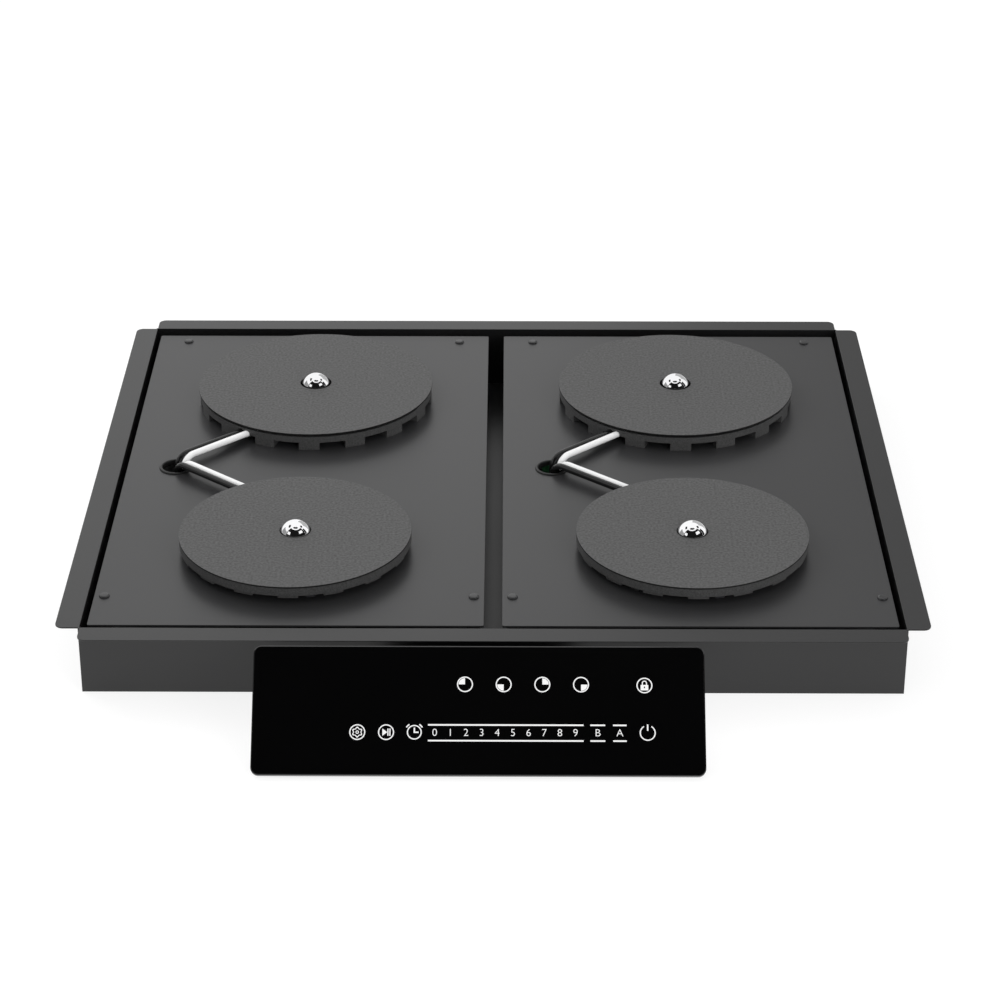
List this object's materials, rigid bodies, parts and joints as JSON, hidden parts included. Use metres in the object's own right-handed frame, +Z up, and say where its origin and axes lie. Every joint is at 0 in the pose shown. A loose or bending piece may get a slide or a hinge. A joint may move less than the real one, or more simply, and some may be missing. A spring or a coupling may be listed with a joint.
{
  "type": "induction cooktop",
  "caption": "Induction cooktop for hanging under a worktop: flanged steel tray with coil discs on deck plates, sprung sensor domes, cooling fans and a leaning touch panel.",
  "frame": {"origin": "centre of the tray's underside, where it stands on a surface", "axes": "+X to the right seen from the front, +Y from the touch panel to the rear, +Z up"},
  "size_m": [0.634, 0.6578, 0.0734],
  "materials": {
    "tray_enamel": "satin dark grey coating on sheet steel",
    "deck_enamel": "satin dark grey coating on sheet metal",
    "screw_black": "glossy black",
    "zinc_steel": "zinc plated",
    "grommet_rubber": "satin",
    "carrier_plastic": "moulded, matte",
    "mica_disc": "fine-grained insulating sheet",
    "litz_copper": "varnished stranded copper",
    "ferrite": "sintered, matte",
    "sensor_plastic": "moulded, matte",
    "dome_chrome": "polished",
    "spring_steel": "drawn wire",
    "lead_sheath": "white sleeve",
    "return_sheath": "black sleeve",
    "fan_plastic": "moulded, matte",
    "rotor_plastic": "moulded, satin",
    "circuit_board": "solder mask",
    "sink_aluminium": "extruded",
    "spacer_plastic": "moulded",
    "capacitor_case": "potted case",
    "terminal_plastic": "moulded",
    "gland_plastic": "moulded",
    "panel_glass": "black printed glass, polished",
    "housing_plastic": "moulded, matte",
    "bracket_enamel": "matte black coating"
  },
  "bodies": {
    "cooktop": {"board_spacers": "spacer_plastic", "bracket_screws": "zinc_steel", "cable_gland": "gland_plastic", "coil_carrier_front_left": "carrier_plastic", "coil_carrier_front_right": "carrier_plastic", "coil_carrier_rear_left": "carrier_plastic", "coil_carrier_rear_right": "carrier_plastic", "coil_cover_front_left": "mica_disc", "coil_cover_front_right": "mica_disc", "coil_cover_rear_left": "mica_disc", "coil_cover_rear_right": "mica_disc", "coil_leads_left": "lead_sheath", "coil_leads_right": "lead_sheath", "coil_winding_front_left": "litz_copper", "coil_winding_front_right": "litz_copper", "coil_winding_rear_left": "litz_copper", "coil_winding_rear_right": "litz_copper", "control_bracket": "bracket_enamel", "control_glass": "panel_glass", "control_housing": "housing_plastic", "deck_left": "deck_enamel", "deck_right": "deck_enamel", "deck_screws": "screw_black", "deck_standoffs": "zinc_steel", "fan_frame_left": "fan_plastic", "fan_frame_right": "fan_plastic", "ferrite_bars_front_left": "ferrite", "ferrite_bars_front_right": "ferrite", "ferrite_bars_rear_left": "ferrite", "ferrite_bars_rear_right": "ferrite", "film_capacitors": "capacitor_case", "filter_chokes": "ferrite", "grommets": "grommet_rubber", "heat_sinks": "sink_aluminium", "power_board_left": "circuit_board", "power_board_right": "circuit_board", "return_leads_left": "return_sheath", "return_leads_right": "return_sheath", "sensor_cup_front_left": "sensor_plastic", "sensor_cup_front_right": "sensor_plastic", "sensor_cup_rear_left": "sensor_plastic", "sensor_cup_rear_right": "sensor_plastic", "sensor_spring_front_left": "spring_steel", "sensor_spring_front_right": "spring_steel", "sensor_spring_rear_left": "spring_steel", "sensor_spring_rear_right": "spring_steel", "terminal_block": "terminal_plastic", "touch_board": "circuit_board", "tray_floor": "tray_enamel", "tray_wall_front": "tray_enamel", "tray_wall_left": "tray_enamel", "tray_wall_rear": "tray_enamel", "tray_wall_right": "tray_enamel"},
    "sensor_rear_left": {"sensor_dome_rear_left": "dome_chrome"},
    "sensor_front_left": {"sensor_dome_front_left": "dome_chrome"},
    "sensor_rear_right": {"sensor_dome_rear_right": "dome_chrome"},
    "sensor_front_right": {"sensor_dome_front_right": "dome_chrome"},
    "fan_left": {"fan_rotor_left": "rotor_plastic"},
    "fan_right": {"fan_rotor_right": "rotor_plastic"}
  },
  "joints": [
    {"name": "sensor_rear_left_press", "type": "slide", "parent": "cooktop", "child": "sensor_rear_left", "axis": [0, 0, 1], "range_m": [-0.007, 0], "stiffness_N_per_m": 300, "springref_m": 0.004, "deforming": ["sensor_spring_rear_left"]},
    {"name": "sensor_front_left_press", "type": "slide", "parent": "cooktop", "child": "sensor_front_left", "axis": [0, 0, 1], "range_m": [-0.007, 0], "stiffness_N_per_m": 300, "springref_m": 0.004, "deforming": ["sensor_spring_front_left"]},
    {"name": "sensor_rear_right_press", "type": "slide", "parent": "cooktop", "child": "sensor_rear_right", "axis": [0, 0, 1], "range_m": [-0.007, 0], "stiffness_N_per_m": 300, "springref_m": 0.004, "deforming": ["sensor_spring_rear_right"]},
    {"name": "sensor_front_right_press", "type": "slide", "parent": "cooktop", "child": "sensor_front_right", "axis": [0, 0, 1], "range_m": [-0.007, 0], "stiffness_N_per_m": 300, "springref_m": 0.004, "deforming": ["sensor_spring_front_right"]},
    {"name": "fan_left_spin", "type": "hinge", "parent": "cooktop", "child": "fan_left", "pos_m": [-0.15075, -0.165, 0.012], "axis": [0, 0, 1], "continuous": true},
    {"name": "fan_right_spin", "type": "hinge", "parent": "cooktop", "child": "fan_right", "pos_m": [0.15075, -0.165, 0.012], "axis": [0, 0, 1], "continuous": true}
  ]
}
